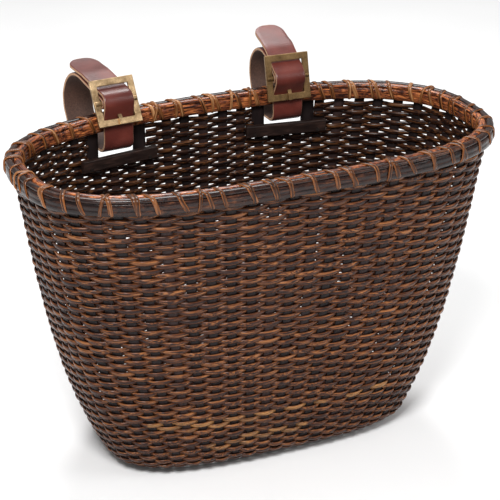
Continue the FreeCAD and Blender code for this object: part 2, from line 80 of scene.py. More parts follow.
# Slots in the back wall, one for each strap
SLOT_X = {"left": -73.5, "right": 69.2}
BAR_TOP = {"left": 211.4, "right": 215.2}
SLOT_WIDTH, POST_WIDTH = 30.0, 11.0
NOTCH_HALF = SLOT_WIDTH / 2 + POST_WIDTH + 0.6
NOTCH_DROP = 6.0                        # the notch in the weave ends this far below the bar's top


def unit(v):
    return v / np.maximum(np.linalg.norm(v, axis=-1, keepdims=True), 1e-9)


def square_to(ahead, v):
    """Unit vectors along v, less their share along ahead."""
    v = unit(v)
    return unit(v - ahead * np.sum(v * ahead, -1, keepdims=True))


def upright(count):
    return np.tile([0.0, 0.0, 1.0], (count, 1))


def oval(turn, half_width, front, back):
    """Points of the oval at angles turn, and all the sizes may be arrays."""
    c, s = np.cos(turn), np.sin(turn)
    n = np.where(s < 0, FRONT_POWER, BACK_POWER)
    depth = np.where(s < 0, front, back)
    reach = (np.abs(c) ** n + np.abs(s) ** n) ** (-1.0 / n)
    return half_width * c * reach, WIDEST_Y + depth * s * reach


def rim_oval(turn):
    return oval(turn, RIM_HALF_WIDTH, RIM_FRONT, RIM_BACK)


rim_turns = np.linspace(0, 2 * math.pi, 6001)
rim_steps = np.hypot(*(np.diff(axis) for axis in rim_oval(rim_turns)))
rim_lengths = np.concatenate([[0.0], np.cumsum(rim_steps)])


def turn_at(stake):
    """Angle of the oval at a stake number, which may be fractional and of any size."""
    whole = np.floor(np.asarray(stake, float) / STAKES)
    part = np.asarray(stake, float) - whole * STAKES
    return np.interp(part / STAKES * rim_lengths[-1], rim_lengths, rim_turns) + whole * 2 * math.pi


def stake_at_x(x):
    """Stake number of the back wall at x."""
    turns = np.linspace(0, math.pi, 4001)
    turn = np.interp(-x, -rim_oval(turns)[0], turns)
    return float(np.interp(turn, rim_turns, rim_lengths) / rim_lengths[-1] * STAKES)


def profile(v):
    """Wall profile at distance v above the corner: height, corner share, inward run, lean angle."""
    v = np.asarray(v, float)
    lean = np.clip(-v / CORNER_LENGTH, 0, 1) * math.pi / 2
    corner = FLOOR_LIFT + (CORNER_HEIGHT - FLOOR_LIFT) * (1 - np.sin(lean))
    z = np.where(v > 0, CORNER_HEIGHT + v, corner)
    inward = np.clip(-v - CORNER_LENGTH, 0, None)
    return z, 1 - np.cos(lean), inward, lean


def wall(stake, v, off):
    """Point of the wall: off is the distance outside the middle surface."""
    z, corner, inward, lean = profile(v)
    drop = 1 - np.maximum(z, 0) / RIM_HEIGHT
    reach = off * np.cos(lean) - inward

    def size(rim, shape):
        slope, belly, round_in = shape
        return rim + reach - (slope * drop + belly * drop ** 4 + round_in * corner)

    x, y = oval(
        turn_at(stake), size(RIM_HALF_WIDTH, END_SHAPE),
        size(RIM_FRONT, FRONT_SHAPE), size(RIM_BACK, BACK_SHAPE),
    )
    return np.stack([x, y, z - off * np.sin(lean)], -1)


def rim_frame(stake):
    """Points of the rim's middle line with their outward and forward directions."""
    turn = turn_at(stake)
    x, y = rim_oval(turn)
    x2, y2 = rim_oval(turn + 1e-3)
    ahead = unit(np.stack([x2 - x, y2 - y, np.zeros_like(x)], -1))
    out = np.stack([ahead[..., 1], -ahead[..., 0], np.zeros_like(x)], -1)
    centre = np.stack([x, y, np.full_like(x, RIM_HEIGHT)], -1)
    return centre, out, ahead


def smooth_noise(count, step, seed):
    """Random values from -1 to 1 that change smoothly over step samples."""
    knots = np.random.RandomState(seed).uniform(-1, 1, int(count / step) + 4)
    place = np.arange(count) / step
    i = place.astype(int)
    f = place - i
    f = f * f * (3 - 2 * f)
    return knots[i] * (1 - f) + knots[i + 1] * f


# ------------------------------------------------------------------ mesh tools
def add_object(name, verts, faces, attributes):
    """Object with a mesh of vertices in mm, and a float for each vertex in each attribute."""
    mesh = bpy.data.meshes.new(name)
    mesh.from_pydata((np.asarray(verts) * MM).tolist(), [], [list(face) for face in faces])
    for key, values in attributes.items():
        layer = mesh.attributes.new(key, "FLOAT", "POINT")
        layer.data.foreach_set("value", np.asarray(values, np.float32))
    obj = bpy.data.objects.new(name, mesh)
    bpy.context.scene.collection.objects.link(obj)
    return obj


def add_piece(name, material, verts, faces, attributes):
    """Smooth object of one material."""
    obj = add_object(name, verts, faces, attributes)
    obj.data.update()
    obj.data.shade_smooth()
    obj.data.materials.append(material)
    return obj


def sweep(centre, across, up, section, ring=False, caps=True):
    """Sweeps a closed section along centre. section is (M, 2) or (N, M, 2): distances across and up."""
    n = len(centre)
    section = np.asarray(section, float)
    if section.ndim == 2:
        section = np.broadcast_to(section, (n,) + section.shape)
    m = section.shape[1]
    verts = centre[:, None] + across[:, None] * section[..., :1] + up[:, None] * section[..., 1:]
    i = np.arange(n if ring else n - 1)[:, None]
    j = np.arange(m)[None]
    here, ahead = i * m, ((i + 1) % n) * m
    corners = (here + j, here + (j + 1) % m, ahead + (j + 1) % m, ahead + j)
    faces = np.stack(corners, -1).reshape(-1, 4).tolist()
    if caps and not ring:
        faces.append(list(range(m))[::-1])
        faces.append(list(range((n - 1) * m, n * m)))
    return verts.reshape(-1, 3), faces


def join(parts):
    """Joins (verts, faces, attributes) parts into one."""
    verts, faces, attributes, base = [], [], {}, 0
    for v, f, a in parts:
        verts.append(v)
        faces += [[k + base for k in face] for face in f]
        for key, values in a.items():
            attributes.setdefault(key, []).append(np.broadcast_to(values, (len(v),)))
        base += len(v)
    return np.concatenate(verts), faces, {k: np.concatenate(a) for k, a in attributes.items()}


def oval_section(half_width, half_height, points=8, power=2.4):
    t = np.arange(points) / points * 2 * math.pi + math.pi / points
    r = (np.abs(np.cos(t)) ** power + np.abs(np.sin(t)) ** power) ** (-1 / power)
    return np.stack([half_width * np.cos(t) * r, half_height * np.sin(t) * r], -1)


def sized(section, half_widths, half_heights):
    """A unit section, scaled for each station of a sweep."""
    scale = np.stack(np.broadcast_arrays(half_widths, half_heights), -1)
    return section[None] * scale[:, None]


def strand_attributes(tone, along, points):
    """Attributes of a plain strand: one tone, distance along at each station, share of the girth."""
    girth = 1 - np.abs(2 * np.arange(points) / points - 1)
    return {
        "tone": np.full(len(along) * points, tone),
        "along": np.repeat(along, points),
        "around": np.tile(girth, len(along)),
    }


# ------------------------------------------------------------------ materials
class Shader:
    """A material with one Principled shader, while its nodes are put together."""

    def __init__(self, name):
        self.material = bpy.data.materials.new(name)
        self.material.use_nodes = True
        self.nodes = self.material.node_tree.nodes
        self.links = self.material.node_tree.links
        self.surface = self.nodes["Principled BSDF"].inputs

    def feed(self, socket, value):
        """Gives a socket another node's output, a colour or a plain number."""
        if isinstance(value, bpy.types.NodeSocket):
            self.links.new(value, socket)
        else:
            socket.default_value = (*value, 1) if isinstance(value, tuple) else value

    def coordinates(self):
        return self.nodes.new("ShaderNodeTexCoord").outputs["Object"]

    def attribute(self, name):
        node = self.nodes.new("ShaderNodeAttribute")
        node.attribute_name = name
        return node.outputs["Fac"]

    def ramp(self, value, stops):
        node = self.nodes.new("ShaderNodeValToRGB")
        elements = node.color_ramp.elements
        while len(elements) < len(stops):
            elements.new(0.5)
        for element, (place, colour) in zip(elements, stops):
            element.position = place
            element.color = (*colour, 1)
        self.links.new(value, node.inputs["Fac"])
        return node.outputs["Color"]

    def noise(self, vector, scale, detail, roughness):
        node = self.nodes.new("ShaderNodeTexNoise")
        node.inputs["Scale"].default_value = scale
        node.inputs["Detail"].default_value = detail
        node.inputs["Roughness"].default_value = roughness
        self.links.new(vector, node.inputs["Vector"])
        return node.outputs["Fac"]

    def maths(self, operation, a, b):
        node = self.nodes.new("ShaderNodeMath")
        node.operation = operation
        self.feed(node.inputs[0], a)
        self.feed(node.inputs[1], b)
        return node.outputs[0]

    def add(self, a, b):
        return self.maths("ADD", a, b)

    def times(self, a, b):
        return self.maths("MULTIPLY", a, b)

    def mix(self, factor, a, b):
        node = self.nodes.new("ShaderNodeMix")
        node.data_type = "RGBA"
        for index, value in ((0, factor), (6, a), (7, b)):
            self.feed(node.inputs[index], value)
        return node.outputs[2]

    def remap(self, value, low, high, to_low, to_high):
        node = self.nodes.new("ShaderNodeMapRange")
        node.inputs["From Min"].default_value = low
        node.inputs["From Max"].default_value = high
        node.inputs["To Min"].default_value = to_low
        node.inputs["To Max"].default_value = to_high
        self.links.new(value, node.inputs["Value"])
        return node.outputs["Result"]

    def bump(self, height, strength, distance):
        node = self.nodes.new("ShaderNodeBump")
        node.inputs["Strength"].default_value = strength
        node.inputs["Distance"].default_value = distance
        self.links.new(height, node.inputs["Height"])
        self.links.new(node.outputs["Normal"], self.surface["Normal"])

    def down_facing_shade(self, share):
        """Share of painted shade: from 0 on faces that look up to share on faces that look down."""
        split = self.nodes.new("ShaderNodeSeparateXYZ")
        geometry = self.nodes.new("ShaderNodeNewGeometry")
        self.links.new(geometry.outputs["Normal"], split.inputs[0])
        return self.remap(split.outputs["Z"], 0.15, -0.45, 0.0, share)

    def strand_vector(self, along_scale, around_scale):
        """Coordinates that stretch along a strand and differ between strands."""
        node = self.nodes.new("ShaderNodeCombineXYZ")
        scales = (("along", along_scale), ("around", around_scale), ("tone", 37.0))
        for socket, (name, scale) in zip(node.inputs, scales):
            self.links.new(self.times(self.attribute(name), scale), socket)
        return node.outputs[0]


TONE_SHARE = 0.55           # of a strand's colour that is its own; the rest is patches along it
CANE_COAT_ROUGHNESS = 0.14


def cane_material(name, stops, rough, streak, coat, specular, under=None, gold=None, edge=None,
                  inner_shade=None):
    """Cane: colour by strand, lengthwise fibres and old varnish.

    under is painted shade: a darker colour with its share on faces that look down. gold is the colour of
    paler runs, edge the colour of a strand's two edges, and inner_shade paints shade on the side towards
    the inside of the tub.
    """
    shader = Shader(name)
    fibre = shader.noise(shader.strand_vector(0.035, 4.0), 1.0, 3.0, 0.6)
    patch = shader.noise(shader.strand_vector(0.045, 1.0), 1.6, 3.0, 0.55)
    tone = shader.times(shader.attribute("tone"), TONE_SHARE)
    value = shader.add(tone, shader.times(patch, 1 - TONE_SHARE))
    value = shader.add(value, shader.times(shader.maths("SUBTRACT", fibre, 0.5), streak))
    colour = shader.ramp(value, stops)
    # Painted shade: faces that look down are mixed towards the darker under colour.
    if under:
        under_shade_colour, share = under
        colour = shader.mix(shader.down_facing_shade(share), colour, under_shade_colour)
    if gold:
        share = shader.times(shader.attribute("gold"), shader.remap(fibre, 0.3, 0.65, 0.15, 0.85))
        colour = shader.mix(share, colour, gold)
    if edge:
        share = shader.times(shader.attribute("edge"), shader.remap(patch, 0.3, 0.6, 0.2, 1.0))
        colour = shader.mix(share, colour, edge)
    if inner_shade:
        share = shader.remap(shader.attribute("inside"), 0.0, 1.0, 0.0, inner_shade)
        colour = shader.mix(share, colour, (0.0, 0.0, 0.0))
    shader.feed(shader.surface["Base Color"], colour)
    shader.feed(shader.surface["Roughness"], shader.remap(fibre, 0.3, 0.75, rough - 0.07, rough + 0.12))
    shader.bump(shader.add(fibre, shader.times(patch, 0.6)), 0.35, 0.0006)
    shader.surface["Coat Weight"].default_value = coat
    shader.surface["Coat Roughness"].default_value = CANE_COAT_ROUGHNESS
    shader.surface["Specular IOR Level"].default_value = specular
    return shader.material


# The under colours below are painted shade on faces that look down, and inner_shade is painted shade on
# the inner side.
WEAVER = cane_material(
    "rattan_weaver",
    [
        (0.18, (0.008, 0.003, 0.003)), (0.42, (0.036, 0.013, 0.009)),
        (0.60, (0.130, 0.042, 0.013)), (0.85, (0.33, 0.130, 0.042)),
    ],
    rough=0.34, streak=3.0, coat=0.12, specular=0.20, under=((0.030, 0.010, 0.008), 0.6),
    gold=(0.50, 0.25, 0.085), edge=(0.140, 0.043, 0.013), inner_shade=0.60,
)
STAKE = cane_material(
    "charcoal_stake",
    [(0.1, (0.006, 0.004, 0.004)), (0.5, (0.014, 0.009, 0.009)), (0.95, (0.045, 0.024, 0.021))],
    rough=0.45, streak=0.35, coat=0.03, specular=0.2,
)
OUTER_RIM = cane_material(
    "rim_cane_weathered",
    [
        (0.15, (0.004, 0.002, 0.002)), (0.42, (0.014, 0.006, 0.005)),
        (0.66, (0.046, 0.016, 0.009)), (0.92, (0.15, 0.054, 0.020)),
    ],
    rough=0.26, streak=1.5, coat=0.3, specular=0.18, under=((0.012, 0.006, 0.005), 0.65),
)
INNER_RIM = cane_material(
    "rim_cane_varnished",
    [
        (0.20, (0.018, 0.006, 0.004)), (0.44, (0.090, 0.024, 0.012)),
        (0.66, (0.290, 0.078, 0.024)), (0.92, (0.60, 0.205, 0.060)),
    ],
    rough=0.28, streak=2.4, coat=0.35, specular=0.25, under=((0.055, 0.020, 0.014), 0.5),
)
LASHING = cane_material(
    "lashing_cane",
    [
        (0.12, (0.012, 0.005, 0.003)), (0.40, (0.050, 0.017, 0.007)),
        (0.65, (0.21, 0.080, 0.028)), (0.95, (0.54, 0.29, 0.13)),
    ],
    rough=0.26, streak=1.8, coat=0.15, specular=0.2, edge=(0.30, 0.100, 0.026),
)


def leather_material():
    """Strap leather: glossy grain outside, raw flesh inside, pale cut edges."""
    shader = Shader("strap_leather")
    coords = shader.coordinates()
    fine = shader.noise(coords, 900.0, 4.0, 0.6)
    broad = shader.noise(coords, 55.0, 3.0, 0.5)
    pores = shader.nodes.new("ShaderNodeTexVoronoi")
    pores.inputs["Scale"].default_value = 1100.0
    shader.links.new(coords, pores.inputs["Vector"])
    grain_stops = [
        (0.3, (0.078, 0.014, 0.010)), (0.55, (0.122, 0.023, 0.016)), (0.8, (0.180, 0.038, 0.025)),
    ]
    grain = shader.ramp(broad, grain_stops)
    flesh = shader.ramp(fine, [(0.3, (0.036, 0.014, 0.008)), (0.7, (0.090, 0.040, 0.024))])
    edge = shader.ramp(fine, [(0.3, (0.36, 0.19, 0.10)), (0.7, (0.52, 0.31, 0.18))])
    on_flesh = shader.remap(shader.attribute("side"), 0.35, 0.65, 0.0, 1.0)
    on_edge = shader.remap(shader.attribute("rim"), 0.45, 0.75, 0.0, 1.0)
    colour = shader.mix(on_edge, shader.mix(on_flesh, grain, flesh), edge)
    shader.feed(shader.surface["Base Color"], colour)
    dull = shader.times(shader.maths("MAXIMUM", on_flesh, on_edge), 0.35)
    wear = shader.remap(broad, 0.3, 0.75, 0.30, 0.42)
    shader.feed(shader.surface["Roughness"], shader.add(wear, dull))
    shader.bump(shader.add(pores.outputs["Distance"], fine), 0.25, 0.0003)
    shader.surface["Specular IOR Level"].default_value = 0.5
    shader.surface["Sheen Weight"].default_value = 0.03
    return shader.material


def metal_material(name, light, dark, rough):
    """Worn metal, blotched from dark to light."""
    shader = Shader(name)
    coords = shader.coordinates()
    blotch = shader.noise(coords, 130.0, 5.0, 0.65)
    fine = shader.noise(coords, 1500.0, 3.0, 0.6)
    value = shader.add(blotch, shader.times(shader.maths("SUBTRACT", fine, 0.5), 0.4))
    middle = tuple((a + b) / 2 for a, b in zip(dark, light))
    colour = shader.ramp(value, [(0.3, dark), (0.55, middle), (0.72, light)])
    shader.feed(shader.surface["Base Color"], colour)
    shader.feed(shader.surface["Roughness"], shader.remap(blotch, 0.3, 0.7, rough + 0.1, rough - 0.05))
    shader.bump(value, 0.25, 0.0003)
    shader.surface["Metallic"].default_value = 0.85
    return shader.material


def wood_material():
    """Dark wood with its grain along x."""
    shader = Shader("slot_bar_wood")
    coords = shader.coordinates()
    mapping = shader.nodes.new("ShaderNodeMapping")
    mapping.inputs["Scale"].default_value = (22.0, 420.0, 420.0)
    shader.links.new(coords, mapping.inputs["Vector"])
    grain = shader.noise(mapping.outputs[0], 1.0, 5.0, 0.6)
    blotch = shader.noise(coords, 90.0, 2.0, 0.5)
    value = shader.add(shader.times(grain, 0.7), shader.times(blotch, 0.3))
    stops = [(0.3, (0.006, 0.003, 0.003)), (0.52, (0.016, 0.008, 0.006)), (0.72, (0.055, 0.026, 0.019))]
    shader.feed(shader.surface["Base Color"], shader.ramp(value, stops))
    shader.feed(shader.surface["Roughness"], shader.remap(grain, 0.3, 0.7, 0.36, 0.55))
    shader.bump(grain, 0.4, 0.0006)
    shader.surface["Specular IOR Level"].default_value = 0.3
    return shader.material


def paper_material():
    """White studio paper."""
    shader = Shader("studio_paper")
    speck = shader.noise(shader.coordinates(), 6.0, 2.0, 0.5)
    colour = shader.ramp(speck, [(0.3, (0.91, 0.91, 0.91)), (0.7, (0.93, 0.93, 0.93))])
    shader.feed(shader.surface["Base Color"], colour)
    shader.surface["Roughness"].default_value = 0.9
    return shader.material


LEATHER = leather_material()
BRASS = metal_material("antique_brass", (0.70, 0.49, 0.275), (0.19, 0.120, 0.058), 0.36)
BRASS_DARK = metal_material("antique_brass_dark", (0.450, 0.281, 0.125), (0.150, 0.088, 0.037), 0.38)
STEEL = metal_material("dull_steel", (0.07, 0.055, 0.048), (0.025, 0.018, 0.016), 0.5)
WOOD = wood_material()


# ------------------------------------------------------------------ weave
WEAVER_SEGMENTS = 9         # per stake
WEAVER_POINTS = 8           # round a weaver
WAVE = 1.6                  # how far a weaver swings to pass a stake
WAVE_SHAPE = 0.8            # 0 is a sine; more makes flatter tops
WEAVER_HALF_HEIGHT, WEAVER_HALF_THICK = 1.84, 0.86
ROW_PITCH = 3.62
CORNER_ROWS = 12            # closer rows from under the floor's edge to the foot of the wall
CORNER_PITCH = 2.55
ROW_COUNT = CORNER_ROWS + int((WALL_TOP - CORNER_HEIGHT + 2.2) / ROW_PITCH)
BACK_WINDOW = 0.5           # the weave stops this much lower under the back of the rim
STAKE_PITCH = 16.7          # length of cane from stake to stake
BANDS = 6                   # meshes that share the rows of the side
SPIRAL_SAMPLES = ROW_COUNT * STAKES * WEAVER_SEGMENTS + 10

# Runs of paler cane: height, half spread, first and last stake.
GOLD_RUNS = (
    (48.5, 3.0, 33.8, 37.6),
    (45.6, 2.6, 36.0, 41.5),
    (46.5, 2.4, 41.0, 45.0),
    (46.5, 3.2, 46.5, 49.5),
    (24.0, 2.4, 37.0, 40.0),
    (27.5, 2.6, 39.5, 44.0),
    (60.0, 1.8, 8.0, 13.0),
    (33.0, 1.8, 20.0, 26.0),
)

stake_shift = 0.05 * np.random.RandomState(3).uniform(-1, 1, STAKES + 1)
stake_shift[-1] = stake_shift[0]
splices = np.cumsum(np.random.RandomState(21).randint(30, 90, 400))     # stakes to the end of each cane
cane_tones = np.random.RandomState(22).uniform(0.22, 0.66, 401)


def shifted(stake):
    """Stake numbers moved by each stake's own small error."""
    return stake + np.interp(np.mod(stake, STAKES), np.arange(STAKES + 1), stake_shift)


def in_notch(points):
    x, y, z = points.T
    hit = np.zeros_like(x, bool)
    for side, slot_x in SLOT_X.items():
        hit |= (y > 0) & (np.abs(x - slot_x) < NOTCH_HALF - 2.0) & (z > BAR_TOP[side] - NOTCH_DROP)
    return hit


def spiral_noise(samples, stakes_long, seed):
    """Smooth noise along the whole spiral, read at some of its samples."""
    return smooth_noise(SPIRAL_SAMPLES, WEAVER_SEGMENTS * stakes_long, seed)[samples]


def row_height(place, jitter, wander):
    """Distance of the spiral above the corner, with the rows' slow sway."""
    row = place / STAKES
    ring = 2 * math.pi * row
    sway = 0.55 * np.sin(3 * ring + 0.10 * row) + 0.45 * np.sin(5 * ring - 0.07 * row)
    sway += 0.3 * np.sin(11 * ring + 0.21 * row)
    sway *= np.interp(row, [10, 20, ROW_COUNT - 8, ROW_COUNT], [0, 1, 1, 0])
    over_corner = row - CORNER_ROWS
    v = over_corner * np.where(over_corner < 0, CORNER_PITCH, ROW_PITCH)
    v += sway + 0.14 * jitter + 0.10 * wander
    y = wall(place, np.full(len(place), 200.0), 0.0)[:, 1]
    at_back = np.interp(y, [30.0, 62.0], [0.0, 1.0])
    return v - BACK_WINDOW * at_back * np.interp(row, [ROW_COUNT - 20, ROW_COUNT], [0.0, 1.0])


def gold_share(place, height, size_noise):
    """Share of the paler cane at spiral positions."""
    stake = np.mod(place, STAKES)
    gold = np.zeros(len(place))
    for middle, spread, start, end in GOLD_RUNS:
        gold += ((stake > start) & (stake < end)) * np.exp(-((height - middle) / spread) ** 4)
    return np.clip(gold * (0.75 + 0.35 * size_noise), 0, 1)


def weave_band(first_row, rows, name):
    """A band of whole rows of the one long spiral of weavers."""
    count = rows * STAKES * WEAVER_SEGMENTS + 1
    samples = first_row * STAKES * WEAVER_SEGMENTS + np.arange(count)
    place = first_row * STAKES + np.arange(count) / WEAVER_SEGMENTS
    wander = spiral_noise(samples, 5.3, 11)
    jitter = spiral_noise(samples, 1.0, 12)
    size_noise = spiral_noise(samples, 2.3, 13)

    swing = np.cos(math.pi * place)
    v = row_height(place, jitter, wander)
    wave = WAVE * (1 + 0.16 * jitter) * np.tanh(WAVE_SHAPE * swing) / math.tanh(WAVE_SHAPE)
    wave *= np.interp(v, [-CORNER_LENGTH, -2.0], [0.42, 1.0])
    stake = shifted(place)
    centre = wall(stake, v, wave)
    ahead = unit(np.gradient(centre, axis=0))
    out = square_to(ahead, wall(stake, v, wave + 0.5) - centre)
    up = square_to(ahead, wall(stake, v + 0.5, wave) - centre)

    round_corner = np.interp(v, [-6.0, 3.0], [0.74, 1.0])
    half_height = (WEAVER_HALF_HEIGHT + 0.10 * swing ** 2) * (1 + 0.09 * size_noise) * round_corner
    half_thick = WEAVER_HALF_THICK * (1 + 0.10 * size_noise)
    base = oval_section(1.0, 1.0, WEAVER_POINTS, 2.2)
    verts, faces = sweep(centre, out, up, sized(base, half_thick, half_height), caps=False)

    # The weave is left out in the slots' notches, and every end is closed.
    keep = ~in_notch(centre)
    quads = np.array(faces)
    station = quads[:, 0] // WEAVER_POINTS
    faces = quads[keep[station] & keep[station + 1]].tolist()
    for i in np.flatnonzero(keep):
        if i in (0, count - 1) or not keep[i - 1] or not keep[i + 1]:
            faces.append(list(range(i * WEAVER_POINTS, (i + 1) * WEAVER_POINTS)))

    height = centre[:, 2]
    # foot_shade is painted shade: it darkens the tone and the edge colour towards the ground.
    foot_shade = np.interp(height, [3.0, 11.0], [0.30, 1.0])
    tone = cane_tones[np.searchsorted(splices, place)] + 0.16 * spiral_noise(samples, 1.7, 14)
    near_edge = np.clip(np.abs(base[:, 1]) * 1.8 - 0.7, 0, 1)
    return add_piece(name, WEAVER, verts, faces, {
        "tone": np.repeat(np.clip(tone, 0, 1) * foot_shade, WEAVER_POINTS),
        "along": np.repeat(place * STAKE_PITCH, WEAVER_POINTS),
        "around": np.tile(0.5 + 0.5 * base[:, 1], count),
        "gold": np.repeat(gold_share(place, height, size_noise), WEAVER_POINTS),
        "inside": np.tile(base[:, 0] < 0, count),
        "edge": (foot_shade[:, None] * near_edge).ravel(),
    })


SIDE_PANELS = [
    "side_weave_" + place
    for place in ("front", "back", "left_front", "left_back", "right_front", "right_back")
]
rows_per_band = -(-ROW_COUNT // BANDS)
for band in range(BANDS):
    first = band * rows_per_band
    rows = min(rows_per_band, ROW_COUNT - first)
    piece = weave_band(first, rows, "side_weavers_%d" % (band + 1))
    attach(piece, "basket")
    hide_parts(*SIDE_PANELS)


# ------------------------------------------------------------------ stakes
STAKE_TOP = 237.5
STAKE_HALF_THICK = 0.72


def stake_strip(k, top):
    """One flat stake from under the corner up to the height top."""
    top -= CORNER_HEIGHT
    v = np.concatenate([np.linspace(-CORNER_LENGTH - 9, 0, 12)[:-1], np.linspace(0, top, 30)])
    place = shifted(np.full(len(v), float(k)))
    centre = wall(place, v, 0.0)
    ahead = unit(wall(place + 0.02, v, 0.0) - wall(place - 0.02, v, 0.0))
    out = unit(np.cross(ahead, unit(np.gradient(centre, axis=0))))
    half_width = 3.95 - 0.9 * np.clip(1 - v / 200, 0, 1)
    section = sized(oval_section(1.0, 1.0, 8, 4.5), half_width, STAKE_HALF_THICK)
    tone = 0.5 + 0.45 * math.sin(k * 2.4) * math.cos(k * 1.3)
    return *sweep(centre, ahead, out, section), strand_attributes(tone, v + 61.0 * k, 8)


def stake_top(k):
    """Height where a stake ends: in the rim, or below the notch of a slot."""
    x, y, _ = rim_frame(np.array([float(k)]))[0][0]
    for side, slot_x in SLOT_X.items():
        if y >= 0 and abs(x - slot_x) < NOTCH_HALF + 3.2:
            return BAR_TOP[side] - NOTCH_DROP - 0.5
    return STAKE_TOP


strips = [stake_strip(k, stake_top(k)) for k in range(STAKES)]
piece = add_piece("wall_stakes", STAKE, *join(strips))
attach(piece, "basket")
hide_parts("stakes")


# ------------------------------------------------------------------ base
BASE_MIDDLE = 3.2
BASE_EDGE = 3.0             # the flat weave stops this far inside the foot of the wall
BASE_HALF_THICK = 0.8
RIB_PITCH, RIB_HALF_WIDTH = 7.0, 2.9
BASE_ROW_PITCH, BASE_ROW_HALF_WIDTH, BASE_WAVE = 4.1, 1.95, 1.35


def base_strip(along_x, line, run, rise, half_width, tone):
    """Flat strip of the woven base: run holds its positions along itself, and line is across it."""
    flat = np.full_like(run, line)
    x, y = (run, flat) if along_x else (flat, run)
    centre = np.stack([x, y, np.full_like(run, BASE_MIDDLE)], -1)
    ahead = unit(np.gradient(centre, axis=0))
    across = np.tile([0.0, 1.0, 0.0] if along_x else [1.0, 0.0, 0.0], (len(run), 1))
    section = oval_section(half_width, BASE_HALF_THICK, 8, 3.0)
    verts, faces = sweep(centre, across, np.cross(ahead, across), section)
    verts[:, 2] += np.repeat(rise, 8)
    return verts, faces, strand_attributes(tone, run + 83.0 * line, 8)


base_half, base_front, base_back = (
    rim - sum(shape) - BASE_EDGE
    for rim, shape in ((RIM_HALF_WIDTH, END_SHAPE), (RIM_FRONT, FRONT_SHAPE), (RIM_BACK, BACK_SHAPE))
)
outline_turns = np.linspace(0, 2 * math.pi, 721)
outline_x, outline_y = oval(outline_turns, base_half, base_front, base_back)
front, back = outline_turns > math.pi, outline_turns < math.pi
first_rib = -base_half + 3

ribs = []
for n, line in enumerate(np.arange(first_rib, base_half - 2, RIB_PITCH)):
    low = np.interp(line, outline_x[front], outline_y[front])
    high = np.interp(line, outline_x[back][::-1], outline_y[back][::-1])
    run = np.arange(low, high, BASE_ROW_PITCH / 4)
    if len(run) > 4:
        tone = 0.25 + 0.2 * math.sin(n)
        ribs.append(base_strip(False, line, run, np.zeros(len(run)), RIB_HALF_WIDTH, tone))
floor_ribs = add_piece("floor_ribs", STAKE, *join(ribs))

base_rows = []
for n, line in enumerate(np.arange(-base_front - 19.5, base_back - 24.5, BASE_ROW_PITCH)):
    nearby = outline_x[np.abs(outline_y - line) < 1.2]
    if len(nearby) < 2:
        continue
    reach = np.max(np.abs(nearby)) - 0.5
    run = np.arange(-reach, reach, RIB_PITCH / 7)
    rise = (1.0 if n % 2 else -1.0) * BASE_WAVE * np.cos(math.pi * (run - first_rib) / RIB_PITCH)
    tone = 0.35 + 0.3 * math.sin(n * 1.7)
    base_rows.append(base_strip(True, line, run, rise, BASE_ROW_HALF_WIDTH, tone))
floor_weavers = add_piece("floor_weavers", WEAVER, *join(base_rows))
for piece in (floor_ribs, floor_weavers):
    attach(piece, "basket")
    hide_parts("base_weave")


# ------------------------------------------------------------------ rim
RIM_STEPS = 900
RIM_SLIM = 0.93             # the canes are a little slimmer than their solid stand-ins
RIM_GRAIN = 900.0           # length of the fibres' pattern round the rim
HOOP_FACE = 1.3             # flat faces of the two hoops, from the middle of the wall
HOOP_MIDDLE, HOOP_HALF_HEIGHT = -1.9, 4.8
HOOP_EDGE, HOOP_BELLY, HOOP_GROOVE = 3.6, 1.7, 0.42
TOP_CANE_OUT, TOP_CANE_UP = 3.1, 4.6


def rim_sweep(name, node, section, tone, seed, material):
    """A cane bent right round the rim: section holds outward and upward distances."""
    stake = np.arange(RIM_STEPS) / RIM_STEPS * STAKES
    turn = stake / STAKES * 2 * math.pi
    centre, out, _ = rim_frame(stake)
    section = np.asarray(section, float) * RIM_SLIM
    points = len(section)
    middle = section.mean(0)
    girth = np.concatenate([[0.0], np.cumsum(np.hypot(*np.diff(section, axis=0).T))])
    girth = np.minimum(girth, 1.6 * girth[-1] - 1.6 * girth + 2.0)
    r = np.random.RandomState(seed)
    grow, shift = np.ones(RIM_STEPS), np.zeros(RIM_STEPS)
    for waves in (3, 7, 13, 29, 53):
        grow += 0.016 * r.uniform(-1, 1) * np.sin(turn * waves + r.uniform(0, 6))
        shift += 0.0875 * r.uniform(-1, 1) * np.sin(turn * waves + r.uniform(0, 6))
    sections = middle + (section - middle)[None] * grow[:, None, None]
    sections[..., 1] += shift[:, None]
    verts, faces = sweep(centre, out, upright(RIM_STEPS), sections, ring=True)
    spread = 0.22 * np.sin(turn * 5 + seed) * np.sin(turn * 2)
    piece = add_piece(name, material, verts, faces, {
        "tone": np.repeat(np.clip(tone + spread, 0, 1), points),
        "along": np.repeat(RIM_GRAIN * np.sin(turn / 2), points),
        "around": np.tile(girth / 5.0, RIM_STEPS),
    })
    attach(piece, "basket")
    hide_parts(node)


def hoop_section(side):
    """Half-round split cane whose outer face has shallow grooves."""
    points = []
    for angle in np.linspace(-math.pi / 2, math.pi / 2, 17):
        z = HOOP_MIDDLE + HOOP_HALF_HEIGHT * math.sin(angle)
        depth = HOOP_FACE + HOOP_EDGE + HOOP_BELLY * math.cos(angle) ** 0.45
        depth -= HOOP_GROOVE * abs(math.cos(angle * 3)) ** 8 * math.cos(angle)
        points.append((side * depth, z))
    points += [(side * HOOP_FACE, z) for z in (2.7, 0.5, -4.0, -6.5)]
    return points if side > 0 else points[::-1]


rim_sweep("outer_hoop", "rim_outer_hoop", hoop_section(1), 0.45, 31, OUTER_RIM)
rim_sweep("inner_hoop", "rim_inner_hoop", hoop_section(-1), 0.55, 32, INNER_RIM)
for side, where, material in ((1, "outer", OUTER_RIM), (-1, "inner", INNER_RIM)):
    section = oval_section(3.1, 2.1, 14, 2.2) + [side * TOP_CANE_OUT, TOP_CANE_UP]
    rim_sweep("top_cane_" + where, "rim_top_cane_" + where, section, 0.5, 33 + side, material)


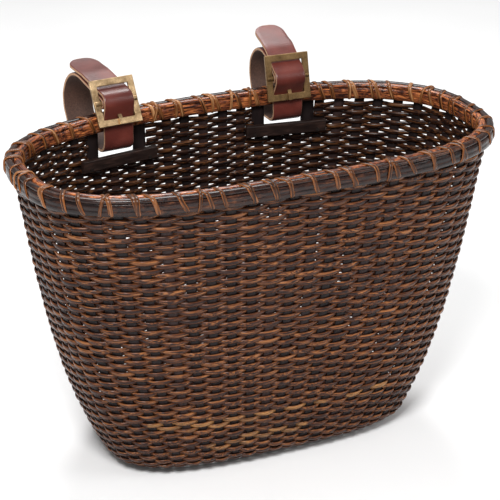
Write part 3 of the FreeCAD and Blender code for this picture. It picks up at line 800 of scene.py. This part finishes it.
# ------------------------------------------------------------------ lashing
LASH_STEPS = 36
LASH_HALF_THICK = 0.55
BUNDLE_HALF_WIDTH, BUNDLE_HALF_HEIGHT = 7.05 * RIM_SLIM, 7.2 * RIM_SLIM
BUNDLE_POWER = 3.6          # squareness of the bundle's section
POST_CLEARANCE = 0.45       # stakes between a wrap and a slot's post

post_stakes = [
    stake_at_x(x + s * (SLOT_WIDTH + POST_WIDTH) / 2) for x in SLOT_X.values() for s in (-1, 1)
]


def bundle_path(theta, lift):
    """Rounded square round the rim bundle: starts underneath and goes inwards."""
    c, s = -np.cos(theta - math.pi / 2), np.sin(theta - math.pi / 2)
    r = (np.abs(c) ** BUNDLE_POWER + np.abs(s) ** BUNDLE_POWER) ** (-1 / BUNDLE_POWER)
    return (BUNDLE_HALF_WIDTH + lift) * c * r, (BUNDLE_HALF_HEIGHT + lift) * s * r


def lashing(name, stations, lead, lift, width, tone_base, seed):
    """Wraps of thin cane round the rim, one for each station, each lead stakes long."""
    r = np.random.RandomState(seed)
    theta = np.linspace(0, 2 * math.pi, LASH_STEPS + 1)
    wraps = []
    for station in stations:
        skew = lead * (0.8 + 0.4 * r.rand())
        wander = 0.05 * r.uniform(-1, 1) * np.sin(theta) + 0.04 * r.uniform(-1, 1) * np.sin(2 * theta)
        centre, out, _ = rim_frame(station + skew * (theta / (2 * math.pi) - 0.5) + wander)
        outward, upward = (axis[:, None] for axis in bundle_path(theta, lift))
        up = upright(len(theta))
        path = centre + out * outward + up * upward
        tangent = unit(np.gradient(path, axis=0))
        facing = out * outward * np.abs(outward) ** 0.5 + up * upward * np.abs(upward) ** 0.5
        normal = square_to(tangent, facing)
        half = width / 2 * (1 + 0.14 * r.uniform(-1, 1))
        section = oval_section(half, LASH_HALF_THICK, 8, 2.6)
        section[:, 1] -= 0.28 * (section[:, 0] / half) ** 2
        paleness = np.interp(path[:, 1].mean(), [-90, 0, 60], [-0.25, 0.0, 0.20])
        tone = np.clip(tone_base + paleness + 0.25 * r.uniform(-1, 1), 0, 1)
        attributes = strand_attributes(tone, theta * 8 + 51 * station, 8)
        near_edge = np.clip(np.abs(section[:, 0]) / half * 1.6 - 0.6, 0, 1)
        attributes["edge"] = np.tile(near_edge, len(path))
        wraps.append((*sweep(path, np.cross(tangent, normal), normal, section), attributes))
    piece = add_piece(name, LASHING, *join(wraps))
    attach(piece, "basket")
    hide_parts("rim_lashing")


def clear_of_posts(station):
    """Moves a wrap that would cross a slot's post to the post's nearer side."""
    for post in post_stakes:
        if abs(station - post) < POST_CLEARANCE:
            return post + math.copysign(POST_CLEARANCE, station - post)
    return station


def between_stakes(k):
    """Place of the wrap that follows stake k."""
    return k + 0.5 + 0.16 * math.sin(k * 2.1)


picks = np.random.RandomState(44).choice(STAKES, 24, replace=False)
wraps = [clear_of_posts(between_stakes(k)) for k in range(STAKES)]
doubles = [clear_of_posts(between_stakes(k) + 0.17) for k in picks[:14]]
crossings = [clear_of_posts(k + 0.56) for k in picks[14:]]
lashing("lashing_wraps", wraps, 0.95, 0.0, 3.3, 0.5, 41)
lashing("lashing_doubles", doubles, 0.40, 0.25, 2.7, 0.45, 42)
lashing("lashing_crossings", crossings, -0.42, 0.5, 2.6, 0.55, 43)


# ------------------------------------------------------------------ slots
POST_HALF_WIDTH, POST_HALF_THICK, POST_TOP = 5.45, 1.1, 237.8


def slot_post(node, stake, foot):
    """Smooth flat strip beside a slot, from the height foot up into the rim."""
    heights = np.linspace(foot, POST_TOP, 14)
    centre, out, ahead = rim_frame(np.full(len(heights), stake))
    centre[:, 2] = heights
    verts, faces = sweep(centre, ahead, out, oval_section(POST_HALF_WIDTH, POST_HALF_THICK, 12, 6.0))
    attributes = strand_attributes(0.4, heights + 40 * stake, 12)
    piece = add_piece(node + "_strip", STAKE, verts, faces, attributes)
    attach(piece, "basket")
    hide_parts(node)


def repaint(node, material):
    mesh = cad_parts[node].data
    mesh.materials.clear()
    mesh.materials.append(material)


for side, slot_x in SLOT_X.items():
    for sign, where in ((-1, "left"), (1, "right")):
        stake = stake_at_x(slot_x + sign * (SLOT_WIDTH + POST_WIDTH) / 2)
        slot_post("%s_slot_post_%s" % (side, where), stake, BAR_TOP[side] - NOTCH_DROP - 3.0)
    repaint(side + "_slot_bar", WOOD)
    repaint(side + "_slot_bar_brads", STEEL)
    repaint(side + "_strap_rivet", BRASS_DARK)
    for part in ("_buckle_frame", "_buckle_bar", "_buckle_prong"):
        repaint(side + part, BRASS if side == "left" else BRASS_DARK)


# ------------------------------------------------------------------ straps
STRAP_WIDTH, STRAP_THICKNESS = 24.5, 2.5
FOLD_RADIUS, FOLD_LAP, FOLD_LAP_OFFSET = 3.2, 17.5, 0.4
TIP_ROUND = 9.5             # length of the rounded end
TIP_CURL = 1.6              # rise of the free end's last part
HOLE_PITCH, HOLE_RADIUS = 21.0, 1.7
PRONG_SLOT_RADIUS, PRONG_SLOT_HALF = 1.9, 2.2
PUNCH_DEPTH = 3.0           # each way from the middle of the leather

# Each strap lies in an upright plane at x, turned by yaw degrees. Its corners are (y, z, bend radius). It
# starts at the lap folded round the buckle's bar, goes out behind the rim, back through the slot and up
# through the buckle to flex, where the free tip takes over.
STRAPS = {
    "left": dict(
        x=-75.5, yaw=4.5, bar=(63.6, 253.4), lap=9.9,
        loop=((133.0, 268.8, 26.0), (133.0, 207.9, 25.8), (80.0, 214.5, 20.0), (59.8, 214.5, 8.5)),
        front=((59.8, 241.0, 10.0), (55.6, 259.6, 7.5)),
        flex=(77.3, 263.0), tip=((99.0, 266.8, 60.0), (126.3, 267.6, 0)), tip_hole=12.4,
    ),
    "right": dict(
        x=69.5, yaw=-3.0, bar=(61.0, 254.0), lap=32.0,
        loop=((110.5, 288.7, 23.5), (110.5, 232.4, 21.0), (80.0, 217.7, 12.0), (60.8, 217.7, 8.5)),
        front=((60.8, 241.0, 10.0), (52.5, 255.8, 6.8)),
        flex=(69.7, 267.6), tip=((80.2, 274.5, 30.0), (105.5, 281.4, 0)), tip_hole=10.5,
    ),
}


def rounded_path(corners, step=1.1):
    """Points along straight runs joined by arcs, from (y, z, radius) corners."""
    points = [np.array(corners[0][:2], float)]

    def run_to(target):
        start = points[-1]
        n = max(1, int(math.dist(start, target) / step))
        for i in range(1, n + 1):
            points.append(start + (np.array(target) - start) * i / n)

    for before, corner, after in zip(corners, corners[1:], corners[2:]):
        radius = corner[2]
        h0 = math.atan2(corner[1] - before[1], corner[0] - before[0])
        h1 = math.atan2(after[1] - corner[1], after[0] - corner[0])
        turn = (h1 - h0 + math.pi) % (2 * math.pi) - math.pi
        reach = radius * math.tan(abs(turn) / 2)
        start = (corner[0] - reach * math.cos(h0), corner[1] - reach * math.sin(h0))
        run_to(start)
        bend = math.copysign(radius, turn)
        centre = np.array([start[0] - bend * math.sin(h0), start[1] + bend * math.cos(h0)])
        n = max(3, int(radius * abs(turn) / step))
        for i in range(1, n + 1):
            a = h0 + turn * i / n
            points.append(centre + bend * np.array([math.sin(a), -math.cos(a)]))
    run_to(corners[-1][:2])
    return np.array(points)


def strap_corners(s):
    """Corners of a strap from its folded end to where the free tip starts."""
    c, n = math.cos(math.radians(s["lap"])), math.sin(math.radians(s["lap"]))

    def lap(along, above, radius):
        y, z = s["bar"]
        return y + along * c - above * n, z + along * n + above * c, radius

    turn = FOLD_RADIUS - 0.05
    fold = (
        lap(FOLD_LAP, FOLD_LAP_OFFSET, 0), lap(9.5, FOLD_LAP_OFFSET, 5.0), lap(2.5, -FOLD_RADIUS, 5.0),
        lap(-FOLD_RADIUS, -FOLD_RADIUS, turn), lap(-FOLD_RADIUS, FOLD_RADIUS, turn),
    )
    return fold + s["loop"] + s["front"] + ((*s["flex"], 0),)


def to_world(s, x, y, z):
    """Turns the strap's own upright plane to follow the rim."""
    pivot = float(wall(stake_at_x(s["x"]), RIM_HEIGHT - CORNER_HEIGHT, 0.0)[1])
    c, n = math.cos(math.radians(s["yaw"])), math.sin(math.radians(s["yaw"]))
    dx, dy = np.asarray(x, float), np.asarray(y, float) - pivot
    return np.stack([s["x"] + dx * c - dy * n, pivot + dx * n + dy * c, np.broadcast_to(z, dy.shape)], -1)


def strap_section():
    """Unit section with softened corners, and flags for its flesh side and its cut edges."""
    across = np.concatenate([[-1, -0.985, -0.95], np.linspace(-0.88, 0.88, 13), [0.95, 0.985, 1]])
    points, flesh, edge = [], [], []
    for sign, order, softness, half_edge in ((1, across, 0.42, 0.5), (-1, across[::-1], 0.30, 0.6)):
        for x in order:
            points.append((x, sign * (1 - max(0, (abs(x) - 0.9) / 0.1) ** 2 * softness)))
            flesh.append(0.0 if sign > 0 else 1.0)
            edge.append(1.0 if abs(x) > 0.995 else half_edge if abs(x) > 0.98 else 0.0)
    return np.array(points), np.array(flesh), np.array(edge)


def path_length(path):
    return np.concatenate([[0], np.cumsum(np.hypot(*np.diff(path, axis=0).T))])


def strap_mesh(s, path, seed, rounded_end=False):
    """Leather strip along a path in the strap's plane, with its grain on the left of travel."""
    tangent = unit(np.gradient(path, axis=0))
    normal = np.stack([-tangent[:, 1], tangent[:, 0]], -1)
    zero = np.zeros(len(path))
    centre = to_world(s, zero, *path.T)
    up = to_world(s, zero, *(path + normal).T) - centre
    across = to_world(s, zero + 1, *path.T) - centre
    length = path_length(path)
    phase = np.random.RandomState(seed).rand() * 6
    half_width = STRAP_WIDTH / 2 + 0.12 * np.sin(length * 0.21 + phase) + 0.06 * np.sin(length * 0.53)
    end_edge = np.zeros(len(path))
    if rounded_end:
        share = np.clip(TIP_ROUND - (length[-1] - length), 0, TIP_ROUND) / TIP_ROUND
        half_width -= 9.2 * (1 - np.sqrt(np.clip(1 - share ** 2, 0, 1)))
        end_edge[length > length[-1] - 0.35] = 1.0
    section, flesh, edge = strap_section()
    verts, faces = sweep(centre, across, up, sized(section, half_width, STRAP_THICKNESS / 2))
    return verts, faces, {
        "side": np.tile(flesh, len(path)),
        "rim": np.maximum(np.tile(edge, len(path)), np.repeat(end_edge, len(section))),
        "along": np.repeat(length, len(section)),
    }


def cutter(s, path, distance, radius, stretch=0.0):
    """Punch square to the strap at a distance along its path; stretch makes the hole a slot."""
    ring = 20
    length = path_length(path)
    (y, y2), (z, z2) = (np.interp((distance, distance + 0.4), length, axis) for axis in path.T)
    heading = math.atan2(z2 - z, y2 - y)
    c, n = math.cos(heading), math.sin(heading)
    angles = np.arange(ring) / ring * 2 * math.pi
    along = np.cos(angles) * radius + np.sign(np.cos(angles)) * stretch
    beside = np.sin(angles) * radius
    ends = [
        to_world(s, beside, y + along * c - depth * n, z + along * n + depth * c)
        for depth in (-PUNCH_DEPTH, PUNCH_DEPTH)
    ]
    faces = [[i, (i + 1) % ring, ring + (i + 1) % ring, ring + i] for i in range(ring)]
    faces += [list(range(ring))[::-1], list(range(ring, 2 * ring))]
    return add_object("punch", np.concatenate(ends), faces, {
        "side": np.ones(2 * ring),
        "rim": np.zeros(2 * ring),
    })


def punch(obj, cutters):
    """Cuts holes and keeps the result as plain mesh."""
    for tool in cutters:
        modifier = obj.modifiers.new("hole", "BOOLEAN")
        modifier.object = tool
        modifier.operation = "DIFFERENCE"
        modifier.solver = "EXACT"
    bpy.context.view_layer.update()
    graph = bpy.context.evaluated_depsgraph_get()
    mesh = bpy.data.meshes.new_from_object(obj.evaluated_get(graph))
    mesh.shade_smooth()
    uncut = obj.data
    obj.modifiers.clear()
    obj.data = mesh
    bpy.data.meshes.remove(uncut)
    for tool in cutters:
        data = tool.data
        bpy.data.objects.remove(tool)
        bpy.data.meshes.remove(data)


for seed, (side, s) in enumerate(STRAPS.items()):
    path = rounded_path(strap_corners(s))
    piece = add_piece(side + "_strap_leather", LEATHER, *strap_mesh(s, path, seed))
    last_hole = path_length(path)[-1] - (HOLE_PITCH - s["tip_hole"])
    punch(piece, [
        cutter(s, path, last_hole, HOLE_RADIUS),
        cutter(s, path, last_hole - 2 * HOLE_PITCH, HOLE_RADIUS),
        cutter(s, path, last_hole - HOLE_PITCH, PRONG_SLOT_RADIUS, PRONG_SLOT_HALF),
    ])
    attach(piece, side + "_strap_loop")
    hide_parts(side + "_strap")

    path = rounded_path(((*s["flex"], 0),) + s["tip"], 0.7)
    share = np.arange(len(path)) / len(path)
    path[:, 1] += TIP_CURL * np.clip((share - 0.55) / 0.45, 0, 1) ** 2
    piece = add_piece(side + "_strap_end_leather", LEATHER, *strap_mesh(s, path, seed + 5, True))
    punch(piece, [cutter(s, path, s["tip_hole"], HOLE_RADIUS)])
    start = to_world(s, 0.0, *s["flex"])
    end = to_world(s, 0.0, s["flex"][0] + 9.0, s["flex"][1] + 3.0)
    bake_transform(piece)
    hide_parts(side + "_strap_tip")


# ------------------------------------------------------------------ stage, light and camera
FLOOR_HALF = 6000.0
WORLD_STRENGTH = 0.36
TARGET = Vector((-5.2, -28.3, 153.6)) * MM
CAMERA_DISTANCE = 1.5355    # metres
SENSOR_WIDTH, LENS = 36.0, 146.6

corners = [(x * FLOOR_HALF, y * FLOOR_HALF, 0) for x, y in ((-1, -1), (1, -1), (1, 1), (-1, 1))]
ground = add_piece("studio_floor", paper_material(), corners, [[0, 1, 2, 3]], {})
ground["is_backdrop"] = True

scene = bpy.context.scene
scene.view_settings.view_transform = "Standard"
scene.world = bpy.data.worlds.new("studio")
scene.world.use_nodes = True
background = scene.world.node_tree.nodes["Background"]
background.inputs["Color"].default_value = (1, 1, 1, 1)
background.inputs["Strength"].default_value = WORLD_STRENGTH


def aim(name, data, azimuth, elevation, distance):
    """Object that looks at the target from that direction, distance metres away."""
    a, e = math.radians(azimuth), math.radians(elevation)
    back = Vector((math.sin(a) * math.cos(e), -math.cos(a) * math.cos(e), math.sin(e)))
    obj = bpy.data.objects.new(name, data)
    scene.collection.objects.link(obj)
    obj.location = TARGET + back * distance
    obj.rotation_mode = "QUATERNION"
    obj.rotation_quaternion = (-back).to_track_quat("-Z", "Y")
    return obj


# Softboxes: azimuth and elevation in degrees, distance and diameter in metres, watts.
for name, azimuth, elevation, distance, diameter, power in (
    ("key", -34, 48, 1.6, 0.55, 24),
    ("top", 160, 58, 1.6, 0.8, 17),
    ("fill", 50, 30, 1.8, 0.8, 7),
):
    light = bpy.data.lights.new(name, "AREA")
    light.shape = "DISK"
    light.size = diameter
    light.energy = power
    aim(name, light, azimuth, elevation, distance)

lens = bpy.data.cameras.new("camera")
lens.sensor_width = SENSOR_WIDTH
lens.lens = LENS
lens.clip_start, lens.clip_end = 0.05, 50
scene.camera = aim("camera", lens, -25.0, 22.84, CAMERA_DISTANCE)

low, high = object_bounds()
